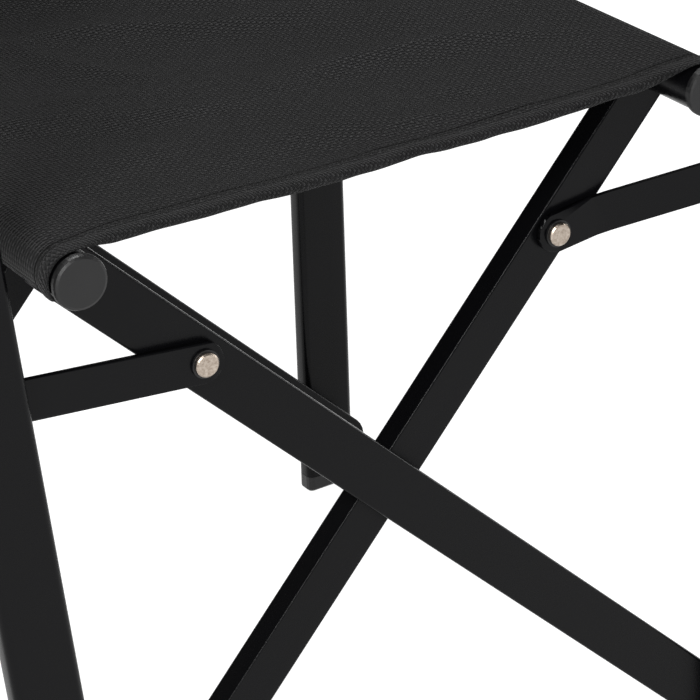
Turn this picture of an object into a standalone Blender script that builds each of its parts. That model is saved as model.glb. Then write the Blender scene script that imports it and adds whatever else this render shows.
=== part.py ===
"""Folding director's chair with a sling seat: two side frames, crossed legs front and rear, and four link bars.

The chair stands on the origin, with X to the sitter's left-hand side in front view (the viewer's right), Y from
front to rear and Z up. Everything is mirrored front to rear about the XZ plane. The outer legs run from the left
seat tube down to the right side frame, and the inner legs from the right seat tube down to the left one.
"""

import math

import bmesh
import bpy
from mathutils import Matrix, Vector

MM = 0.001
GAP = 0.3  # between pieces that touch

# Driving dimensions, in millimetres and degrees
LEG_ANGLE = 46.0        # of the open legs above the floor
FRAME_LEAN = 3.0        # of the side frames, outwards at the top, open and folded alike
PIVOT_HEIGHT = 44.0     # of the legs' bottom pivots above the floor
LEG_BELOW = 300.0       # bottom pivot to centre pivot
LEG_ABOVE = 260.0       # centre pivot to seat tube
LINK_ABOVE = 158.0      # centre pivot to link rivet
FOLDED_HALF = 52.0      # half the distance between the bottom pivots, folded

OUTER_LEG = (30.0, 15.0)
INNER_LEG = (25.0, 15.0)
LEG_CORNER = 1.2
POST = (36.0, 15.0)
POST_CORNER = 4.5
WALL = 1.5
SEAT_TUBE_R = 12.5
SEAT_TUBE_END = 254.0   # from the middle plane, past the legs and between the leaning posts
LINK_WIDTH, LINK_THICK = 22.0, 3.0

POST_TOP = 790.0        # of the rear post above the bottom pivot, along the post
RAIL_LOW = 575.0        # underside of the arm rail, the same way
BACK_LOW, BACK_HIGH = 616.0, 782.0
FABRIC = 1.5

# Distances of the layers from the chair's middle plane, from the outside in
POST_OUT, POST_IN = 248.0, 233.0
OUTER_OUT, OUTER_IN = 228.0, 213.0
INNER_OUT, INNER_IN = 211.0, 196.0
LINK_STANDOFF = 1.5     # from a leg's face to its link

# Worked out from them
LEAN = math.radians(FRAME_LEAN)
OPEN = math.radians(LEG_ANGLE)
FOLDED = math.acos(FOLDED_HALF / LEG_BELOW)
PIVOT_X = LEG_BELOW * math.cos(OPEN)
CROSS_Z = PIVOT_HEIGHT + LEG_BELOW * math.sin(OPEN)
SEAT_X = LEG_ABOVE * math.cos(OPEN)
SEAT_Z = CROSS_Z + LEG_ABOVE * math.sin(OPEN)
RIVET_X = LINK_ABOVE * math.cos(OPEN)
RIVET_Z = CROSS_Z + LINK_ABOVE * math.sin(OPEN)
# The link's pin on the post, above the bottom pivot: the height at which one link length suits the chair both
# open and folded, with the side frames leaning as far out in both
SUM, DIFF = LEG_BELOW + LINK_ABOVE, LEG_BELOW - LINK_ABOVE
LINK_PIN = (2 * LEG_BELOW * LINK_ABOVE * (math.sin(FOLDED) ** 2 - math.sin(OPEN) ** 2)
            / (SUM * math.cos(LEAN) * (math.sin(FOLDED) - math.sin(OPEN))
               + DIFF * math.sin(LEAN) * (math.cos(OPEN) - math.cos(FOLDED))))
PIN_X = PIVOT_X + LINK_PIN * math.sin(LEAN)
PIN_Z = PIVOT_HEIGHT + LINK_PIN * math.cos(LEAN)
LINK_LENGTH = math.hypot(PIN_X - RIVET_X, PIN_Z - RIVET_Z)
LINK_RISE = math.atan2(PIN_Z - RIVET_Z, PIN_X - RIVET_X)

for old in list(bpy.data.objects):
    bpy.data.objects.remove(old)


def material(name, colour, roughness, metallic=0.0):
    made = bpy.data.materials.new(name)
    made.use_nodes = True
    shader = made.node_tree.nodes["Principled BSDF"]
    shader.inputs["Base Color"].default_value = (*colour, 1)
    shader.inputs["Roughness"].default_value = roughness
    shader.inputs["Metallic"].default_value = metallic
    return made


POWDER_COAT = ("powder coat", (0.016, 0.016, 0.017), 0.42)
PLASTIC = ("black plastic", (0.012, 0.012, 0.013), 0.5)
NICKEL = ("nickel", (0.58, 0.52, 0.46), 0.35, 1.0)
CLOTH = ("black sling cloth", (0.02, 0.02, 0.021), 0.85)


# --- Building blocks ------------------------------------------------------------------------------------------

def node(name, shape, finish, axis=None):
    """Turns a bmesh in millimetres into a named object on its axis empty, with a material of its own."""
    bmesh.ops.recalc_face_normals(shape, faces=shape.faces)
    bmesh.ops.scale(shape, vec=(MM, MM, MM), verts=shape.verts)
    mesh = bpy.data.meshes.new(name)
    shape.to_mesh(mesh)
    shape.free()
    made = bpy.data.objects.new(name, mesh)
    bpy.context.collection.objects.link(made)
    made.parent = axis
    if finish:
        label, *look = finish
        mesh.materials.append(material(f"{name} {label}", *look))
        mesh.shade_smooth()
        mesh.set_sharp_from_angle(angle=math.radians(30))
    return made


def axis_empty(name, x, z, turn=0.0):
    """An empty on a line along Y: a joint's axis, turned so that its Z runs along the piece."""
    empty = bpy.data.objects.new(name, None)
    empty.location = (x * MM, 0, z * MM)
    empty.rotation_euler = (0, turn, 0)
    bpy.context.collection.objects.link(empty)
    return empty


def cut(target, name, shape):
    """Subtracts a shape from an object; the cutter stays in the file as a hidden wire."""
    cutter = node(f"cut {name}", shape, None, target.parent)
    cutter.hide_render = True
    cutter.display_type = "WIRE"
    boolean = target.modifiers.new("Boolean", "BOOLEAN")
    boolean.object = cutter
    boolean.operation = "DIFFERENCE"
    boolean.solver = "EXACT"


def round_edges(target, width, segments=2, angle=40):
    bevel = target.modifiers.new("Bevel", "BEVEL")
    bevel.width = width * MM
    bevel.segments = segments
    bevel.limit_method = "ANGLE"
    bevel.angle_limit = math.radians(angle)


def arc(cx, cy, radius, start, end, steps):
    turns = [math.radians(start + (end - start) * i / steps) for i in range(steps + 1)]
    return [(cx + radius * math.cos(t), cy + radius * math.sin(t)) for t in turns]


def rounded_rectangle(width, depth, corner, steps=3):
    x, y = width / 2 - corner, depth / 2 - corner
    corners = ((x, y, 0), (-x, y, 90), (-x, -y, 180), (x, -y, 270))
    return [point for cx, cy, start in corners for point in arc(cx, cy, corner, start, start + 90, steps)]


def plate(outline, near, far):
    """A flat outline in X and Z, as thick as from near to far along Y."""
    shape = bmesh.new()
    face = shape.faces.new([shape.verts.new((x, near, z)) for x, z in outline])
    pulled = bmesh.ops.extrude_face_region(shape, geom=[face])["geom"]
    moved = [part for part in pulled if isinstance(part, bmesh.types.BMVert)]
    bmesh.ops.translate(shape, vec=(0, far - near, 0), verts=moved)
    return shape


def box(x, y, z):
    shape = plate([(x[0], z[0]), (x[1], z[0]), (x[1], z[1]), (x[0], z[1])], y[0], y[1])
    return shape


def stack(sections, side_y=0.0):
    """Rounded rectangles (width, depth, corner, height) skinned one on another up the Z axis, closed at the ends."""
    shape = bmesh.new()
    rings = []
    for width, depth, corner, height in sections:
        outline = rounded_rectangle(width, depth, corner)
        rings.append([shape.verts.new((x, side_y + y, height)) for x, y in outline])
    for low, high in zip(rings, rings[1:]):
        for i in range(len(low)):
            j = (i + 1) % len(low)
            shape.faces.new((low[i], low[j], high[j], high[i]))
    shape.faces.new(rings[0])
    shape.faces.new(rings[-1])
    return shape


def turned(profile, x=0.0, z=0.0, steps=20):
    """A closed profile of (radius, y) points spun about a line along Y through x, z."""
    shape = bmesh.new()
    verts = [shape.verts.new((radius, y, 0)) for radius, y in profile]
    edges = [shape.edges.new((a, b)) for a, b in zip(verts, verts[1:])]
    if profile[0][0] > 0:
        edges.append(shape.edges.new((verts[-1], verts[0])))
    bmesh.ops.spin(shape, geom=verts + edges, cent=(0, 0, 0), axis=(0, 1, 0), dvec=(0, 0, 0),
                   angle=math.tau, steps=steps, use_merge=True)
    bmesh.ops.remove_doubles(shape, verts=shape.verts, dist=0.001)
    bmesh.ops.translate(shape, vec=(x, 0, z), verts=shape.verts)
    return shape


def rod(radius, near, far, x=0.0, z=0.0, steps=20):
    return turned([(0, near), (radius, near), (radius, far), (0, far)], x, z, steps)


def merged(shapes):
    whole = bmesh.new()
    for shape in shapes:
        mesh = bpy.data.meshes.new("piece")
        shape.to_mesh(mesh)
        whole.from_mesh(mesh)
        shape.free()
        bpy.data.meshes.remove(mesh)
    return whole


ENDS = {"front": -1, "rear": 1}
left_frame = axis_empty("left_frame_axis", -PIVOT_X, PIVOT_HEIGHT, -LEAN)
right_frame = axis_empty("right_frame_axis", PIVOT_X, PIVOT_HEIGHT, LEAN)
FRAMES = {"left": (left_frame, -1), "right": (right_frame, 1)}
outer_legs = axis_empty("outer_legs_axis", 0, CROSS_Z, OPEN - math.pi / 2)
inner_legs = axis_empty("inner_legs_axis", 0, CROSS_Z, math.pi / 2 - OPEN)


# --- Side frames ----------------------------------------------------------------------------------------------

FOOT_HEIGHT = 10.0      # of the foot cap that shows below the post
FOOT_ROUND = 1.5
PLUG_LENGTH = 16.0
PIN_R = 4.0
PIN_HEAD_R, PIN_HEAD = 6.5, 1.8
TAIL_R, TAIL = 6.0, 1.2


def post(name, frame, end, top):
    """A flat-sided tube standing in its foot cap, drilled for the bottom pivot's pin."""
    middle = end * (POST_OUT + POST_IN) / 2
    low = -PIVOT_HEIGHT + FOOT_HEIGHT + GAP
    tube = node(name, stack([(*POST, POST_CORNER, low), (*POST, POST_CORNER, top)], middle), POWDER_COAT, frame)
    inside = (POST[0] - 2 * WALL, POST[1] - 2 * WALL, POST_CORNER - WALL)
    cut(tube, f"{name} inside", stack([(*inside, low - 5), (*inside, top + 5)], middle))
    cut(tube, f"{name} pin hole", rod(PIN_R + GAP, end * (POST_IN - 5), end * (POST_OUT + 5)))
    return tube


def foot_cap(name, frame, lean, end):
    """A cap pushed up into the post, its sole cut level with the floor."""
    middle = end * (POST_OUT + POST_IN) / 2
    low = -PIVOT_HEIGHT
    top = low + FOOT_HEIGHT
    plug = (POST[0] - 2 * WALL - 2 * GAP, POST[1] - 2 * WALL - 2 * GAP, POST_CORNER - WALL - GAP)
    shape = stack([(POST[0] - 2 * FOOT_ROUND, POST[1] - 2 * FOOT_ROUND, POST_CORNER - FOOT_ROUND, low),
                   (*POST, POST_CORNER, low + FOOT_ROUND),
                   (*POST, POST_CORNER, top),
                   (*plug, top),
                   (*plug, top + PLUG_LENGTH)], middle)
    for vert in shape.verts:
        if vert.co.z < top - 0.01:
            above_sole = vert.co.z - low
            vert.co.z = (-PIVOT_HEIGHT + above_sole + vert.co.x * math.sin(lean)) / math.cos(lean)
    return node(name, shape, PLASTIC, frame)


for side, (frame, k) in FRAMES.items():
    for place, end in ENDS.items():
        post(f"{side}_{place}_post", frame, end, RAIL_LOW - GAP if place == "front" else POST_TOP)
        foot_cap(f"{side}_{place}_foot", frame, k * LEAN, end)
        # Pins of the bottom pivots: inner legs end on the left frame, outer legs on the right one
        leg_out, leg_in = (INNER_OUT, INNER_IN) if side == "left" else (OUTER_OUT, OUTER_IN)
        head = POST_OUT + GAP
        tail = leg_in - GAP
        pin = [(0, head + PIN_HEAD), (PIN_HEAD_R - 0.6, head + PIN_HEAD), (PIN_HEAD_R, head + PIN_HEAD - 0.6),
               (PIN_HEAD_R, head), (PIN_R, head), (PIN_R, tail), (TAIL_R, tail), (TAIL_R, tail - TAIL),
               (0, tail - TAIL)]
        node(f"{side}_{place}_pivot_pin", turned([(r, end * y) for r, y in pin]), NICKEL, frame)
        ring = [(PIN_R + GAP, POST_IN - GAP), (7.0, POST_IN - GAP), (7.0, leg_out + GAP),
                (PIN_R + GAP, leg_out + GAP)]
        node(f"{side}_{place}_spacer", turned([(r, end * y) for r, y in ring]), PLASTIC, frame)

# Arm rails: tubes welded on the front posts and screwed to the rear ones, with a drain hole below
RAIL_HEIGHT = 15.0
RAIL_END = 22.0         # closed length at the rear, where the screw bites
SCREW_R, SCREW_HEAD_R = 2.5, 5.0
PAD_WIDTH, PAD_HEIGHT = 46.0, 12.0
PAD_ENDS = (-249.5, 226.0)

for side, (frame, k) in FRAMES.items():
    near, far = -POST_OUT, POST_IN - GAP
    mid_z = RAIL_LOW + RAIL_HEIGHT / 2
    rail = node(f"{side}_arm_rail", box((-POST[0] / 2, POST[0] / 2), (near, far),
                                        (RAIL_LOW, RAIL_LOW + RAIL_HEIGHT)), POWDER_COAT, frame)
    round_edges(rail, 2.5)
    cut(rail, f"{side} rail inside", box((-POST[0] / 2 + WALL, POST[0] / 2 - WALL), (near + WALL, far - RAIL_END),
                                         (RAIL_LOW + WALL, RAIL_LOW + RAIL_HEIGHT - WALL)))
    drain = turned([(0, -3), (3, -3), (3, 3), (0, 3)], steps=12)
    bmesh.ops.rotate(drain, cent=(0, 0, 0), matrix=Matrix.Rotation(math.pi / 2, 3, "X"), verts=drain.verts)
    bmesh.ops.translate(drain, vec=(0, 0, RAIL_LOW), verts=drain.verts)
    cut(rail, f"{side} rail drain", drain)
    cut(rail, f"{side} rail screw hole", rod(SCREW_R + GAP, far - 15, far + 5, z=mid_z))
    cut(bpy.data.objects[f"{side}_rear_post"], f"{side} post screw hole",
        rod(SCREW_R + GAP, POST_IN - 5, POST_OUT + 5, z=mid_z))
    head = POST_OUT + GAP
    screw = [(0, head + 1.5), (3.4, head + 1.5), (SCREW_HEAD_R, head + 0.5), (SCREW_HEAD_R, head),
             (SCREW_R, head), (SCREW_R, far - 14), (0, far - 14)]
    node(f"{side}_arm_screw", turned(screw, z=mid_z), NICKEL, frame)

    pad_low = RAIL_LOW + RAIL_HEIGHT + GAP
    length = PAD_ENDS[1] - PAD_ENDS[0]
    pad = stack([(PAD_WIDTH, length, PAD_WIDTH / 2 - 0.5, pad_low), (PAD_WIDTH, length, PAD_WIDTH / 2 - 0.5,
                                                                     pad_low + PAD_HEIGHT)], sum(PAD_ENDS) / 2)
    round_edges(node(f"{side}_arm_pad", pad, PLASTIC, frame), 3.0)

    plug = (POST[0] - 2 * WALL - 2 * GAP, POST[1] - 2 * WALL - 2 * GAP, POST_CORNER - WALL - GAP)
    middle = (POST_OUT + POST_IN) / 2
    top = POST_TOP + GAP
    node(f"{side}_post_plug", stack([(*plug, top - PLUG_LENGTH), (*plug, top), (*POST, POST_CORNER, top),
                                     (*POST, POST_CORNER, top + 2),
                                     (POST[0] - 3, POST[1] - 3, POST_CORNER - 1.5, top + 3.5)], middle),
         PLASTIC, frame)


# --- Crossed legs and seat tubes ------------------------------------------------------------------------------

def leg(name, axis, end, size, layer, blind_centre):
    """A tube with a rounded foot end, its top end coped to the seat tube, hollow down to the bottom pivot."""
    width, thick = size
    out, inner = layer
    half = width / 2
    outline = [(half, LEG_ABOVE + 20), (-half, LEG_ABOVE + 20)] + arc(0, -LEG_BELOW, half, 180, 360, 12)
    low, high = sorted((end * out, end * inner))
    tube = node(name, plate(outline, low, high), POWDER_COAT, axis)
    round_edges(tube, LEG_CORNER)
    cope_r = SEAT_TUBE_R + GAP
    shoulder = LEG_ABOVE - 2.0
    reach = math.degrees(math.asin(2.0 / cope_r))
    cope = [(half + 5, LEG_ABOVE + 30), (-half - 5, LEG_ABOVE + 30), (-half - 5, shoulder)]
    cope += arc(0, LEG_ABOVE, cope_r, 180 + reach, 360 - reach, 14) + [(half + 5, shoulder)]
    cut(tube, f"{name} cope", plate(cope, low - 5, high + 5))
    cut(tube, f"{name} inside", box((-half + WALL, half - WALL), (low + WALL, high - WALL),
                                    (-LEG_BELOW + 22, LEG_ABOVE + 30)))
    centre_far = end * (out - thick / 2) if blind_centre else end * (out + 5)
    holes = [rod(PIN_R + GAP, end * (inner - 5), end * (out + 5), z=-LEG_BELOW),
             rod(PIN_R + GAP, end * (inner - 5), centre_far),
             rod(RIVET_SHANK_R + GAP, end * (out - thick / 2), end * (out + 5), z=LINK_ABOVE)]
    cut(tube, f"{name} holes", merged(holes))
    return tube


RIVET_SHANK_R = 3.0
RIVET_HEAD_R, RIVET_HEAD = 6.3, 1.9
BUSH_FLANGE_R, BUSH_BARREL_R = 7.5, 4.7
CAP_R, CAP_FLANGE = 13.9, 4.0
CAP_STEM = 15.0

for place, end in ENDS.items():
    leg(f"{place}_outer_leg", outer_legs, end, OUTER_LEG, (OUTER_OUT, OUTER_IN), True)
    leg(f"{place}_inner_leg", inner_legs, end, INNER_LEG, (INNER_OUT, INNER_IN), False)
    # The centre pin is blind: its flange lies inside the outer leg, so nothing shows on the front
    flange = OUTER_IN + WALL + GAP
    tail = INNER_IN - GAP
    pin = [(0, flange + 1.4), (PIN_HEAD_R, flange + 1.4), (PIN_HEAD_R, flange), (PIN_R, flange),
           (PIN_R, tail), (PIN_HEAD_R, tail), (PIN_HEAD_R, tail - 1.5), (0, tail - 1.5)]
    node(f"{place}_centre_pin", turned([(r, end * y) for r, y in pin]), NICKEL, outer_legs)
    washer = [(PIN_R + GAP, OUTER_IN - GAP), (9.0, OUTER_IN - GAP), (9.0, INNER_OUT + GAP),
              (PIN_R + GAP, INNER_OUT + GAP)]
    node(f"{place}_centre_washer", turned([(r, end * y) for r, y in washer]), PLASTIC, outer_legs)

for side, axis in (("left", outer_legs), ("right", inner_legs)):
    length = SEAT_TUBE_END
    tube = [(SEAT_TUBE_R - WALL, -length), (SEAT_TUBE_R, -length), (SEAT_TUBE_R, length),
            (SEAT_TUBE_R - WALL, length)]
    node(f"{side}_seat_tube", turned(tube, z=LEG_ABOVE, steps=32), POWDER_COAT, axis)
    for place, end in ENDS.items():
        back = length + GAP
        front = back + CAP_FLANGE
        cap = [(0, front), (CAP_R - 1.8, front), (CAP_R - 0.5, front - 0.6), (CAP_R, front - 1.8), (CAP_R, back),
               (SEAT_TUBE_R - WALL - GAP, back), (SEAT_TUBE_R - WALL - GAP, back - CAP_STEM),
               (0, back - CAP_STEM)]
        node(f"{side}_{place}_tube_cap", turned([(r, end * y) for r, y in cap], z=LEG_ABOVE, steps=32),
             PLASTIC, axis)


# --- Links ----------------------------------------------------------------------------------------------------

JOG_START, JOG_END = 24.0, 100.0    # along the inner legs' links, where they step out to the post


def link(name, axis, end, face, direction):
    """A flat bar with round ends. On the inner legs it steps outwards from the leg's plane to the post's."""
    r = LINK_WIDTH / 2
    outline = arc(0, 0, r, 90, 270, 12) + arc(LINK_LENGTH, 0, r, 270, 450, 12)
    outline = [(direction * x, z) for x, z in outline]
    near = face + LINK_STANDOFF
    shape = plate(outline, end * near, end * (near + LINK_THICK))
    step = POST_IN - 0.5 - LINK_THICK - near
    if step > 1:
        run = JOG_END - JOG_START
        for share in (0.0, 0.12, 0.88, 1.0):
            bmesh.ops.bisect_plane(shape, geom=shape.verts[:] + shape.edges[:] + shape.faces[:],
                                   plane_co=(direction * (JOG_START + share * run), 0, 0), plane_no=(1, 0, 0))
        for vert in shape.verts:
            along = min(max((direction * vert.co.x - JOG_START) / run, 0), 1)
            vert.co.y += end * step * along * along * (3 - 2 * along) * SOFT_JOG + end * step * along * (1 - SOFT_JOG)
    holes = [rod(BUSH_BARREL_R + GAP, end * (near - 5), end * (near + LINK_THICK + 5)),
             rod(RIVET_SHANK_R + GAP, end * (near - 5), end * (near + step + LINK_THICK + 5),
                 x=direction * LINK_LENGTH)]
    bar = node(name, shape, POWDER_COAT, axis)
    cut(bar, f"{name} holes", merged(holes))
    return near, near + step


SOFT_JOG = 0.35         # how much of the step is eased at its two bends

for place, end in ENDS.items():
    for side, owner, face, direction in (("left", outer_legs, OUTER_OUT, -1), ("right", inner_legs, INNER_OUT, 1)):
        axis = axis_empty(f"{side}_{place}_link_axis", direction * RIVET_X, RIVET_Z, -direction * LINK_RISE)
        near, post_near = link(f"{side}_{place}_link", axis, end, face, direction)
        far = near + LINK_THICK
        bush = [(RIVET_SHANK_R + GAP, face + GAP), (BUSH_FLANGE_R, face + GAP), (BUSH_FLANGE_R, near - GAP),
                (BUSH_BARREL_R, near - GAP), (BUSH_BARREL_R, far + GAP), (BUSH_FLANGE_R, far + GAP),
                (BUSH_FLANGE_R, far + 1.5), (RIVET_SHANK_R + GAP, far + 1.5)]
        node(f"{side}_{place}_link_bush", turned([(r, end * y) for r, y in bush], z=LINK_ABOVE), PLASTIC, owner)
        head = far + 1.5 + GAP
        wall_in = face - WALL - GAP
        rivet = [(0, head + RIVET_HEAD), (RIVET_HEAD_R - 0.7, head + RIVET_HEAD),
                 (RIVET_HEAD_R, head + RIVET_HEAD - 0.7), (RIVET_HEAD_R, head), (RIVET_SHANK_R, head),
                 (RIVET_SHANK_R, wall_in), (4.5, wall_in), (4.5, wall_in - 2), (0, wall_in - 3.5)]
        node(f"{side}_{place}_link_rivet", turned([(r, end * y) for r, y in rivet], z=LINK_ABOVE, steps=28),
             NICKEL, owner)
        # The rivet at the post stays short of the post: this is the pivot that the mechanism leaves open
        tail = post_near - GAP
        pin = [(0, post_near + LINK_THICK + 0.2), (RIVET_SHANK_R, post_near + LINK_THICK + 0.2),
               (RIVET_SHANK_R, tail), (TAIL_R, tail), (TAIL_R, tail - 1.0), (0, tail - 1.0)]
        node(f"{side}_{place}_link_post_rivet",
             turned([(r, end * y) for r, y in pin], x=direction * LINK_LENGTH), NICKEL, axis)


# --- Cloth ----------------------------------------------------------------------------------------------------

SLEEVE_GAP = 0.4
SLEEVE_END = 252.0      # from the middle plane
HEM_END = 248.5
SLEEVE_FROM, SLEEVE_TO = 75.0, 215.0
seat_low = SEAT_TUBE_R + SLEEVE_GAP
turn_left = math.degrees(math.pi / 2 - OPEN)

for side, axis, k in (("left", outer_legs, 1), ("right", inner_legs, -1)):
    # The wrap over the seat tube, from the top round the outside; the legs' side of the tube stays free
    start, stop = SLEEVE_FROM - turn_left, SLEEVE_TO - turn_left
    ring = arc(0, 0, seat_low, start, stop, 14) + arc(0, 0, seat_low + FABRIC, stop, start, 14)
    ring = [(k * x, z + LEG_ABOVE) for x, z in ring]
    node(f"seat_{side}_sleeve", plate(ring, -SLEEVE_END, SLEEVE_END), CLOTH, axis)

edge = SEAT_X - (seat_low + FABRIC) * math.cos(math.radians(SLEEVE_FROM)) - 0.5
low = SEAT_Z + seat_low * math.sin(math.radians(SLEEVE_FROM))
node("seat_panel", box((-edge, edge), (-HEM_END, HEM_END), (low, low + FABRIC)), CLOTH)

sleeve_in = (POST[0] + 2 * SLEEVE_GAP, POST[1] + 2 * SLEEVE_GAP, POST_CORNER + SLEEVE_GAP)
sleeve_out = (sleeve_in[0] + 2 * FABRIC, sleeve_in[1] + 2 * FABRIC, sleeve_in[2] + FABRIC)
for side, (frame, k) in FRAMES.items():
    middle = (POST_OUT + POST_IN) / 2
    sleeve = node(f"back_{side}_sleeve", stack([(*sleeve_out, BACK_LOW), (*sleeve_out, BACK_HIGH)], middle),
                  CLOTH, frame)
    cut(sleeve, f"back {side} sleeve inside", stack([(*sleeve_in, BACK_LOW - 5), (*sleeve_in, BACK_HIGH + 5)],
                                                    middle))

# The back panel's sides follow the leaning posts
inset = sleeve_out[0] / 2 + 0.6


def beside_post(along, k):
    """A point at the inner edge of a back sleeve, in the chair's X and Z."""
    x = k * (PIVOT_X + along * math.sin(LEAN) - inset * math.cos(LEAN))
    z = PIVOT_HEIGHT + along * math.cos(LEAN) + inset * math.sin(LEAN)
    return x, z


outline = [beside_post(BACK_LOW, -1), beside_post(BACK_LOW, 1), beside_post(BACK_HIGH, 1),
           beside_post(BACK_HIGH, -1)]
front = POST_IN - SLEEVE_GAP - FABRIC
node("back_panel", plate(outline, front, front + FABRIC), CLOTH)
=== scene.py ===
"""A folding director's chair in black: coated steel side frames, crossed legs, link bars and woven slings."""

import math

import bmesh
import bpy
from mathutils import Matrix, Vector, noise


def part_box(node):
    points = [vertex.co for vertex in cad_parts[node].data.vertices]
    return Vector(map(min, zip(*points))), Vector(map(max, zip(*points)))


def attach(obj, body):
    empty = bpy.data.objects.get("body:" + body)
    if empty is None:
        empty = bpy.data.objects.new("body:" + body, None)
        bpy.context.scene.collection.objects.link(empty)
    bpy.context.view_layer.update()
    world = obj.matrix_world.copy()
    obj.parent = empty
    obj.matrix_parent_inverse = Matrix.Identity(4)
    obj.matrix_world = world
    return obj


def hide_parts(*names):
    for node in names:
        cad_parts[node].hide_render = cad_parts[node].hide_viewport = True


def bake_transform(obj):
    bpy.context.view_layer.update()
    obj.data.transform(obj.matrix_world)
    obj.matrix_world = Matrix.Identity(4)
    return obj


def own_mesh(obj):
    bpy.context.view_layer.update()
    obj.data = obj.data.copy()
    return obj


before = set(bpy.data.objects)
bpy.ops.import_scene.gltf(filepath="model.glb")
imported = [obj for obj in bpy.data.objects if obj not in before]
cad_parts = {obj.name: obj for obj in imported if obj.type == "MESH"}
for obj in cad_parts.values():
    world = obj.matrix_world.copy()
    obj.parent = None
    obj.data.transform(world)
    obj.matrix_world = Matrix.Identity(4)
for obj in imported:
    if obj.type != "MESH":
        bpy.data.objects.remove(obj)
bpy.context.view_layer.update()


# ---------------------------------------------------------------------------------------------------------
# Posts and arm rails. Each side frame is two flat-sided steel tubes about 480 mm apart, joined by a third
# along the arm. All are sprayed with black powder and baked, which leaves a fine, even peel in the gloss.

class Field:
    """A value that changes over a surface. Sums written on it become Math nodes of its material."""

    def __init__(self, finish, socket):
        self.finish, self.socket = finish, socket

    def maths(self, operation, *values):
        return self.finish.node("ShaderNodeMath", {"operation": operation}, *values)

    def __add__(self, other):
        return self.maths("ADD", self, other)

    def __sub__(self, other):
        return self.maths("SUBTRACT", self, other)

    def __mul__(self, other):
        return self.maths("MULTIPLY", self, other)

    def __rsub__(self, other):
        return self.maths("SUBTRACT", other, self)

    def __mod__(self, other):
        return self.maths("FLOORED_MODULO", self, other)

    def __lt__(self, other):
        return self.maths("LESS_THAN", self, other)

    def __gt__(self, other):
        return self.maths("GREATER_THAN", self, other)

    __radd__, __rmul__ = __add__, __mul__

    def floor(self):
        return self.maths("FLOOR", self)

    def sine(self):
        return self.maths("SINE", self)

    def size(self):
        return self.maths("ABSOLUTE", self)

    def power(self, exponent):
        return self.maths("POWER", self, exponent)

    def ramp(self, low, high, start=0.0, end=1.0):
        """Runs from start to end as this value goes from low to high, and stays there beyond."""
        return self.finish.node("ShaderNodeMapRange", {"clamp": True}, self, low, high, start, end)


class Finish:
    """A Principled material and the nodes that feed it."""

    def __init__(self, name, **constants):
        self.material = bpy.data.materials.new(name)
        self.material.use_nodes = True
        self.tree = self.material.node_tree
        self.shader = self.tree.nodes["Principled BSDF"]
        for socket, value in constants.items():
            self.shader.inputs[socket.replace("_", " ")].default_value = value

    def node(self, kind, settings=None, *values, output=0, **named):
        made = self.tree.nodes.new(kind)
        for setting, value in (settings or {}).items():
            setattr(made, setting, value)
        for key, value in [*enumerate(values), *named.items()]:
            socket = made.inputs[key if isinstance(key, int) else key.replace("_", " ")]
            if isinstance(value, Field):
                self.tree.links.new(value.socket, socket)
            else:
                socket.default_value = value
        return Field(self, made.outputs[output])

    def place(self):
        return self.node("ShaderNodeTexCoord", output="Object")

    def flat_place(self):
        """How far across and along the cut cloth a point lies, in metres."""
        split = self.node("ShaderNodeSeparateXYZ", None, self.node("ShaderNodeUVMap", {"uv_map": "cut"}))
        return split, Field(self, split.socket.node.outputs[1])

    def speckle(self, scale, detail=2.0, roughness=0.5):
        return self.node("ShaderNodeTexNoise", None, Vector=self.place(), Scale=scale, Detail=detail,
                         Roughness=roughness)

    def mix(self, share, low, high):
        """Two colours, the first where share is 0 and the second where it is 1."""
        blend = self.node("ShaderNodeMix", {"data_type": "RGBA"}, share, output=2)
        sockets = blend.socket.node.inputs
        sockets[6].default_value, sockets[7].default_value = (*low, 1), (*high, 1)
        return blend

    def feed(self, **fields):
        for socket, field in fields.items():
            self.tree.links.new(field.socket, self.shader.inputs[socket.replace("_", " ")])

    def bump(self, height, distance, strength=1.0):
        self.feed(Normal=self.node("ShaderNodeBump", None, Height=height, Distance=distance, Strength=strength))


coat = Finish("black powder coat", Specular_IOR_Level=0.11)
peel = coat.speckle(900, 2)
patches = coat.speckle(9, 3)
lint = coat.speckle(2600, 1).ramp(0.74, 0.8)
coat.feed(Base_Color=coat.mix(lint * 0.4, (0.0014, 0.0014, 0.0017), (0.012, 0.012, 0.012)),
          Roughness=patches.ramp(0.35, 0.65, 0.22, 0.28) + peel.ramp(0.3, 0.7, 0.0, 0.05))
coat.bump(peel, 0.00006, 0.6)


def coated(node_name, finish):
    """Gives a piece its finish."""
    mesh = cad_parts[node_name].data
    mesh.materials.clear()
    mesh.materials.append(finish.material)


def smoothed(node_name, body, finish, angle=40):
    """The same piece with its surface joined up, so that its rounded edges catch the light evenly."""
    shape = bmesh.new()
    shape.from_mesh(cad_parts[node_name].data)
    bmesh.ops.remove_doubles(shape, verts=shape.verts, dist=0.00001)
    mesh = bpy.data.meshes.new(node_name)
    shape.to_mesh(mesh)
    shape.free()
    mesh.materials.append(finish.material)
    mesh.shade_smooth()
    mesh.set_sharp_from_angle(angle=math.radians(angle))
    piece = bpy.data.objects.new(f"{node_name}_skin", mesh)
    bpy.context.collection.objects.link(piece)
    even = piece.modifiers.new("Weighted Normal", "WEIGHTED_NORMAL")
    even.keep_sharp = True
    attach(piece, body)
    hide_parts(node_name)


for side in ("left", "right"):
    for place in ("front", "rear"):
        smoothed(f"{side}_{place}_post", f"{side}_frame", coat)
    smoothed(f"{side}_arm_rail", f"{side}_frame", coat)


# ---------------------------------------------------------------------------------------------------------
# Feet, plugs, caps, arm pads and the spacers at the pivots: black polypropylene mouldings, pushed into or over
# the tubes. The feet show a 10 mm shoe below the posts. The skin is finely sparked and duller than the coat.

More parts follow.
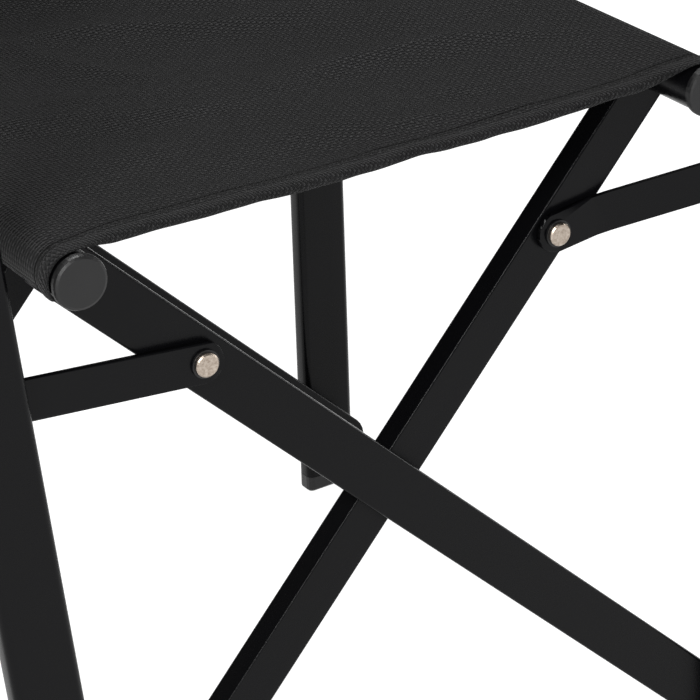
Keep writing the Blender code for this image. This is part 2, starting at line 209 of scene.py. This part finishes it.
plastic = Finish("black moulded plastic", Specular_IOR_Level=0.35)
grain = plastic.speckle(1400, 3, 0.6)
cast = plastic.speckle(30, 2)
plastic.feed(Base_Color=plastic.mix(cast.ramp(0.35, 0.65), (0.0018, 0.0018, 0.002), (0.0032, 0.0032, 0.0034)),
             Roughness=grain.ramp(0.3, 0.7, 0.38, 0.52))
plastic.bump(grain, 0.00005, 0.8)

for side in ("left", "right"):
    for place in ("front", "rear"):
        coated(f"{side}_{place}_foot", plastic)
        coated(f"{side}_{place}_spacer", plastic)
        coated(f"{side}_{place}_link_bush", plastic)
        coated(f"{side}_{place}_tube_cap", plastic)
    coated(f"{side}_post_plug", plastic)
    coated(f"{side}_arm_pad", plastic)
for place in ("front", "rear"):
    coated(f"{place}_centre_washer", plastic)


# ---------------------------------------------------------------------------------------------------------
# Crossed legs, seat tubes and link bars. Two flat tubes cross at the front and two at the rear, pinned in the
# middle; each pair carries a round seat tube at its top. A flat steel bar ties every upper leg to its post. All
# have the posts' coat.

CARRIER = {"left": "outer_legs", "right": "inner_legs"}

for place in ("front", "rear"):
    smoothed(f"{place}_outer_leg", "outer_legs", coat)
    smoothed(f"{place}_inner_leg", "inner_legs", coat)
for side, body in CARRIER.items():
    smoothed(f"{side}_seat_tube", body, coat)
    for place in ("front", "rear"):
        smoothed(f"{side}_{place}_link", f"{side}_{place}_link", coat, 30)


# ---------------------------------------------------------------------------------------------------------
# Rivets, pivot pins and arm screws: turned steel, nickel plated and left bare. The domed heads have worn and
# spotted unevenly with handling.

nickel = Finish("worn nickel", Metallic=1.0)
stain = nickel.speckle(700, 4, 0.65)
cloud = nickel.speckle(260, 2)
nickel.feed(Base_Color=nickel.mix(stain.ramp(0.35, 0.7), (0.46, 0.40, 0.34), (0.26, 0.21, 0.17)),
            Roughness=cloud.ramp(0.3, 0.7, 0.28, 0.5))
nickel.bump(stain, 0.00005, 0.7)
for side in ("left", "right"):
    for place in ("front", "rear"):
        coated(f"{side}_{place}_link_rivet", nickel)
        coated(f"{side}_{place}_link_post_rivet", nickel)
        coated(f"{side}_{place}_pivot_pin", nickel)
    coated(f"{side}_arm_screw", nickel)
for place in ("front", "rear"):
    coated(f"{place}_centre_pin", nickel)


# ---------------------------------------------------------------------------------------------------------
# Seat sling: one cut of coarse black polyester duck, stretched over both seat tubes and turned down round their
# outer sides. It gives a little in the middle, and the free edges pull in between the tubes.

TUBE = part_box("left_seat_tube")
TUBE_X = -(TUBE[0][0] + TUBE[1][0]) / 2
TUBE_Z = (TUBE[0][2] + TUBE[1][2]) / 2
WRAP_R = (TUBE[1][2] - TUBE[0][2]) / 2 + 0.0005
WRAP = math.radians(122)    # of the cloth round each tube, from the top down the outside
SLEEVE_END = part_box("seat_left_sleeve")[1][1]
SEAT_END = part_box("seat_panel")[1][1]
CUT_WIDTH = 2 * (TUBE_X + WRAP_R * WRAP)
CLOTH = 0.0013              # thickness
EDGE_SAG = 0.0055           # of the free edges, half-way between the tubes
MORE_SAG = 0.004            # of the middle of the seat, below that
EDGE_PULL = 0.0045          # inwards, of the free edges half-way between the tubes
RIGHT_DROOP = 0.0035        # of the looser edge near the right tube
MARGIN = 0.003              # from the end of the flat cloth to the outside of its hem


def smooth(low, high, value):
    """Goes gently from 0 to 1 as the value goes from low to high."""
    share = min(max((value - low) / (high - low), 0.0), 1.0)
    return share * share * (3 - 2 * share)


def seat_end(across):
    """Where the cloth ends, front or rear, at a distance across the cut from its middle."""
    taut = 1 - (min(abs(across), TUBE_X) / TUBE_X) ** 2
    return SEAT_END + (SLEEVE_END - SEAT_END) * smooth(TUBE_X - 0.03, TUBE_X, abs(across)) - EDGE_PULL * taut


def seat_point(across, along, lift=0.0):
    """The place of a point of the cut cloth, given across it from the middle and along the chair, and its lift
    above the cloth's inner face."""
    side = 1 if across > 0 else -1
    reach = abs(across)
    if reach > TUBE_X:
        turn = (reach - TUBE_X) / WRAP_R
        r = WRAP_R + lift
        return Vector((side * (TUBE_X + r * math.sin(turn)), along, TUBE_Z + r * math.cos(turn)))
    hollow = (1 - (reach / TUBE_X) ** 2) ** 2
    near_edge = 1 - smooth(0.03, 0.2, SEAT_END - abs(along))
    sag = (EDGE_SAG + MORE_SAG * (1 - near_edge)) * hollow
    free = smooth(0.0, 0.05, TUBE_X - reach)
    spot = Vector((across * 9, along * 16, 3.1)) + Vector((along * 5, 0, 0))
    fold = noise.noise(Vector((across * 7 + along * 9, along * 4 - across * 3, 1.3)))
    crease = noise.noise(spot) * 0.0032 + noise.noise(spot * 2.7) * 0.0014 + (0.5 - abs(fold)) ** 3 * 0.03
    pull = noise.noise(Vector((across * 30, along * 5, 7.7))) * 0.0007 * (1 - free)
    droop = RIGHT_DROOP * smooth(0.0, 0.11, across) * smooth(0.0, 0.04, TUBE_X - reach) * near_edge
    settled = smooth(0, 0.06, SEAT_END + 0.01 - abs(along))
    height = TUBE_Z + WRAP_R + lift - sag - droop + (crease * free + pull) * settled
    return Vector((across, along, height))


def cut_sheet(name, columns, rows, place):
    """A grid of cloth whose points go where place sends them; the map "cut" keeps their flat places."""
    cloth = bmesh.new()
    bmesh.ops.create_grid(cloth, x_segments=columns, y_segments=rows, size=0.5)
    layer = cloth.loops.layers.uv.new("cut")
    flat = {}
    for vert in cloth.verts:
        vert.co, flat[vert] = place(vert.co.x, vert.co.y)
    for face in cloth.faces:
        face.smooth = True
        for loop in face.loops:
            loop[layer].uv = flat[loop.vert]
    mesh = bpy.data.meshes.new(name)
    cloth.to_mesh(mesh)
    cloth.free()
    made = bpy.data.objects.new(name, mesh)
    bpy.context.collection.objects.link(made)
    return made


def seat_place(u, v):
    across = u * CUT_WIDTH
    along = 2 * v * (seat_end(across) - MARGIN)
    return seat_point(across, along), (across, 2 * v * SEAT_END)


seat = cut_sheet("seat_sling", 150, 170, seat_place)
wall = seat.modifiers.new("Solidify", "SOLIDIFY")
wall.thickness, wall.offset = CLOTH, 1

DUCK = {"Specular_IOR_Level": 0.1, "Sheen_Weight": 0.04, "Sheen_Roughness": 0.5}
# Painted shade: the near-black colour given to the gaps between the yarns, where shade falls.
PAINTED_PIT_SHADE = (0.0001, 0.0001, 0.0001)
YARN = (0.0068, 0.0068, 0.0075)
STITCH = 0.0032             # from one stitch to the next
STITCH_GROOVE = 0.0017      # from the middle of a row of stitches to where the cloth lies flat again
NEEDLE_ROW = 0.0045         # from the stitches to the row of open needle holes
NEEDLE_STEP = 0.0075        # from one needle hole to the next


def weave(x, y, pitch):
    """Height of a plain weave of round yarns, over a surface measured by x and y. Every second crossing stands
    up."""
    knuckle = ((x * (math.pi / pitch)).sine() * (y * (math.pi / pitch)).sine()).size().power(0.7)
    proud = (((x * (1 / pitch)).floor() + (y * (1 / pitch)).floor()) % 2) < 0.5
    return knuckle * (0.45 + proud * 0.55)


def duck_cloth(name, seam, tape=None):
    """Duck with a row of stitches beside both ends, at a distance along the cut from its middle, and where
    asked a smooth tape between two distances across it."""
    duck = Finish(name, **DUCK)
    cut_x, cut_y = duck.flat_place()
    slub = duck.speckle(240, 2)
    yarns = weave(cut_x + slub * 0.0007, cut_y + slub * 0.0007, 0.0024)
    if tape:
        plain = (cut_x.size() > tape[0]) * (cut_x.size() < tape[1])
        yarns = yarns * (1 - plain) + plain * (0.22 + yarns * 0.2)
    stitch_line = (cut_y.size() - seam).size().ramp(0.0007, STITCH_GROOVE, 1, 0)
    stitches = stitch_line * ((cut_x * (math.tau / STITCH)).sine() > -0.55)
    needle_row = (cut_y.size() - (seam - NEEDLE_ROW)).size() < 0.0004
    needle_holes = needle_row * ((cut_x * (math.tau / NEEDLE_STEP)).sine() > 0.96)
    faded = duck.speckle(14, 3).ramp(0.3, 0.7, 0.0, 0.25)
    # Painted light and shade: the yarns' tops are painted lighter than the near-black gaps between them, the
    # groove beside each row of stitches is painted darker as painted shade, and the needle holes are painted
    # dark as painted shade. The faded speckle is random tone.
    tone_and_painted_shade = (yarns * 0.75 + faded) * (1 - stitch_line * 0.85) * (1 - needle_holes)
    duck.feed(Base_Color=duck.mix(tone_and_painted_shade, PAINTED_PIT_SHADE, YARN),
              Roughness=yarns.ramp(0.1, 0.8, 0.8, 0.55))
    duck.bump(yarns + stitches * 0.8 - stitch_line * 1.8 - needle_holes * 2, 0.0022, 1.0)
    return duck


SEAT_SEAM = SEAT_END - 0.0105
TAPE = (TUBE_X + 0.010, TUBE_X + 0.0235)    # across the cut, on the outside of each tube
duck = duck_cloth("black polyester duck, seat", SEAT_SEAM, TAPE)
seat.data.materials.append(duck.material)

# The sling's free edges are rolled under twice and sewn; over the tubes the roll flattens into a band.
HEM_STEPS = 20              # points round the roll
ROLL = (0.0042, 0.0030)     # half the width and the height of the roll
BAND = (0.0054, 0.0010)     # and of the band
HEM_CUT = 0.018             # of cloth in the roll, across it
PUCKER_AT, PUCKER_REACH, PUCKER = 0.012, 0.012, 0.0012


def hem_place(sign):
    """Gives the places of the points of one hem, along the edge with u and round the roll with v."""
    def place(u, v):
        across = u * CUT_WIDTH
        rolled = 1 - smooth(TUBE_X - 0.026, TUBE_X - 0.004, abs(across))
        width, height = (ROLL[i] * rolled + BAND[i] * (1 - rolled) for i in (0, 1))
        turn = (v + 0.5) * math.tau
        out, up = math.cos(turn), math.sin(turn)
        out, up = math.copysign(abs(out) ** 0.7, out), math.copysign(abs(up) ** 0.8, up)
        pucker = PUCKER * math.exp(-((across - PUCKER_AT) / PUCKER_REACH) ** 2) * (sign < 0)
        uneven = noise.noise(Vector((across * 60, sign * 3.0, v * 2))) * 0.0004 * rolled
        middle = CLOTH * 0.5 + 0.0007 - rolled * 0.0019 - 0.0001 * (1 - rolled)
        lift = middle + (height + uneven) * up + pucker
        if rolled < 0.02:
            lift = max(lift, 0.0001)
        along = sign * (seat_end(across) - width + width * out + uneven)
        return seat_point(across, along, lift), (across, 0.5 + (v + 0.5) * HEM_CUT)
    return place


hems = []
for end, sign in (("front", -1), ("rear", 1)):
    hem = cut_sheet(f"seat_{end}_hem", 230, HEM_STEPS, hem_place(sign))
    roll = bmesh.new()
    roll.from_mesh(hem.data)
    bmesh.ops.remove_doubles(roll, verts=roll.verts, dist=0.00001)
    bmesh.ops.holes_fill(roll, edges=[edge for edge in roll.edges if edge.is_boundary], sides=HEM_STEPS + 2)
    bmesh.ops.recalc_face_normals(roll, faces=roll.faces)
    roll.to_mesh(hem.data)
    roll.free()
    hems.append(hem)

bias = Finish("rolled duck", **DUCK)
roll_x, roll_y = bias.flat_place()
slub = bias.speckle(300, 2)
ribs = weave(roll_x + roll_y * 0.6 + slub * 0.0008, roll_y - roll_x * 0.6, 0.0019)
# Painted light and shade: the rib tops are painted lighter than the near-black gaps between them. The speckle
# is random tone.
tone_and_painted_shade = ribs * 0.75 + bias.speckle(50, 3).ramp(0.3, 0.7, 0, 0.3)
bias.feed(Base_Color=bias.mix(tone_and_painted_shade, PAINTED_PIT_SHADE, (0.0062, 0.0062, 0.0068)),
          Roughness=ribs.ramp(0.2, 1, 0.75, 0.58))
bias.bump(ribs, 0.0011, 1.0)
for hem in hems:
    hem.data.materials.append(bias.material)

for piece in (seat, *hems):
    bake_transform(piece)
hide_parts("seat_panel", "seat_left_sleeve", "seat_right_sleeve")


# ---------------------------------------------------------------------------------------------------------
# Back sling: the same duck, hung between the rear posts. The panel is lapped over the front of two sleeves that
# slip down over the posts, and sewn to them.

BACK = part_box("back_panel")
BACK_HEIGHT = BACK[1][2] - BACK[0][2]
SPLAY = math.tan(math.radians(3))       # of the posts, outwards at the top
LAP = 0.0075                # of the panel over the front of each sleeve, where it is sewn
CLEAR = 0.0002              # from the panel to the sleeve behind it
BACK_GIVE = 0.006           # of the panel's middle, to the rear
BACK_SEAM = 0.016           # from the panel's top and bottom to their stitches


def back_place(u, v):
    z = BACK[0][2] + (v + 0.5) * BACK_HEIGHT
    half = BACK[1][0] + LAP - (BACK[1][2] - z) * SPLAY
    slack = (1 - (2 * u) ** 2) * (1 - 0.35 * (2 * v) ** 2) * smooth(0.085, 0.3, 0.5 - abs(u))
    crease = noise.noise(Vector((u * 2.2, v * 5, 5.0))) * 0.0012 * slack
    across = u * 2 * half
    depth = BACK[0][1] - CLOTH - CLEAR + slack * BACK_GIVE + crease
    return Vector((across, depth, z)), (across, v * BACK_HEIGHT)


back = cut_sheet("back_sling", 130, 50, back_place)
wall = back.modifiers.new("Solidify", "SOLIDIFY")
wall.thickness, wall.offset = CLOTH, -1
back_duck = duck_cloth("black polyester duck, back", BACK_HEIGHT / 2 - BACK_SEAM)
back.data.materials.append(back_duck.material)
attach(back, "left_frame")
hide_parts("back_panel")
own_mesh(back)

wound = Finish("black polyester duck, sleeves", **DUCK)
split = wound.node("ShaderNodeSeparateXYZ", None, wound.place())
depth, rise = (Field(wound, split.socket.node.outputs[i]) for i in (1, 2))
yarns = weave(split + depth, rise, 0.0021)
low_seam = (rise - (BACK[0][2] + BACK_SEAM)).size() < 0.0008
high_seam = (rise - (BACK[1][2] - BACK_SEAM)).size() < 0.0008
seam = low_seam + high_seam
# Painted light and shade: the yarns' tops are painted lighter than the near-black gaps, and the two seam lines
# are painted darker as painted shade in their grooves.
wound.feed(Base_Color=wound.mix(yarns * 0.85 * (1 - seam * 0.6), PAINTED_PIT_SHADE, YARN),
           Roughness=yarns.ramp(0.1, 0.8, 0.8, 0.55))
wound.bump(yarns - seam * 1.5, 0.0011, 1.0)
for side in ("left", "right"):
    smoothed(f"back_{side}_sleeve", f"{side}_frame", wound)


# ---------------------------------------------------------------------------------------------------------
# The room: a plain pale floor that glows a little, so that it stays white under the chair, and four soft
# lights: from the upper left, from the front, low from the right, and from above behind the chair.

bpy.ops.mesh.primitive_plane_add(size=14)
floor = bpy.context.object
floor.name = "floor"
pale = Finish("pale floor", Base_Color=(0.25, 0.25, 0.25, 1), Roughness=0.7, Specular_IOR_Level=0.1,
              Emission_Color=(1, 1, 1, 1), Emission_Strength=0.93)
floor.data.materials.append(pale.material)

world = bpy.data.worlds.new("studio")
world.use_nodes = True
world.node_tree.nodes["Background"].inputs["Color"].default_value = (1, 1, 1, 1)
world.node_tree.nodes["Background"].inputs["Strength"].default_value = 0.12
bpy.context.scene.world = world
bpy.context.scene.view_settings.view_transform = "Standard"

LIGHTS = (                  # name, place, height of the spot it is turned to, width, watts
    ("key", (-1.7, -1.7, 2.3), 0.4, 0.9, 70),
    ("front", (-1.0, -2.5, 1.5), 0.4, 0.6, 75),
    ("side", (2.9, -0.5, 0.9), 0.5, 1.2, 42),
    ("top", (0.3, 0.9, 2.8), 0.4, 0.9, 60),
)
for name, spot, aim, size, power in LIGHTS:
    light = bpy.data.lights.new(name, "AREA")
    light.size, light.energy = size, power
    lamp = bpy.data.objects.new(name, light)
    bpy.context.collection.objects.link(lamp)
    lamp.location = spot
    lamp.rotation_euler = (Vector((0, 0, aim)) - Vector(spot)).to_track_quat("-Z", "Y").to_euler()

camera = bpy.data.cameras.new("camera")
camera.lens, camera.shift_x, camera.shift_y = 166.2, -0.169, -0.053
eye = bpy.data.objects.new("camera", camera)
bpy.context.collection.objects.link(eye)
HEADING, PITCH, ROLL_LEFT = -31.31, -25.35, -3.68      # degrees, from looking level to the rear
turn = (Matrix.Rotation(math.radians(HEADING), 4, "Z") @ Matrix.Rotation(math.radians(90 + PITCH), 4, "X")
        @ Matrix.Rotation(math.radians(ROLL_LEFT), 4, "Z"))
eye.matrix_world = Matrix.Translation((-0.7342, -1.5084, 1.0617)) @ turn
bpy.context.scene.camera = eye
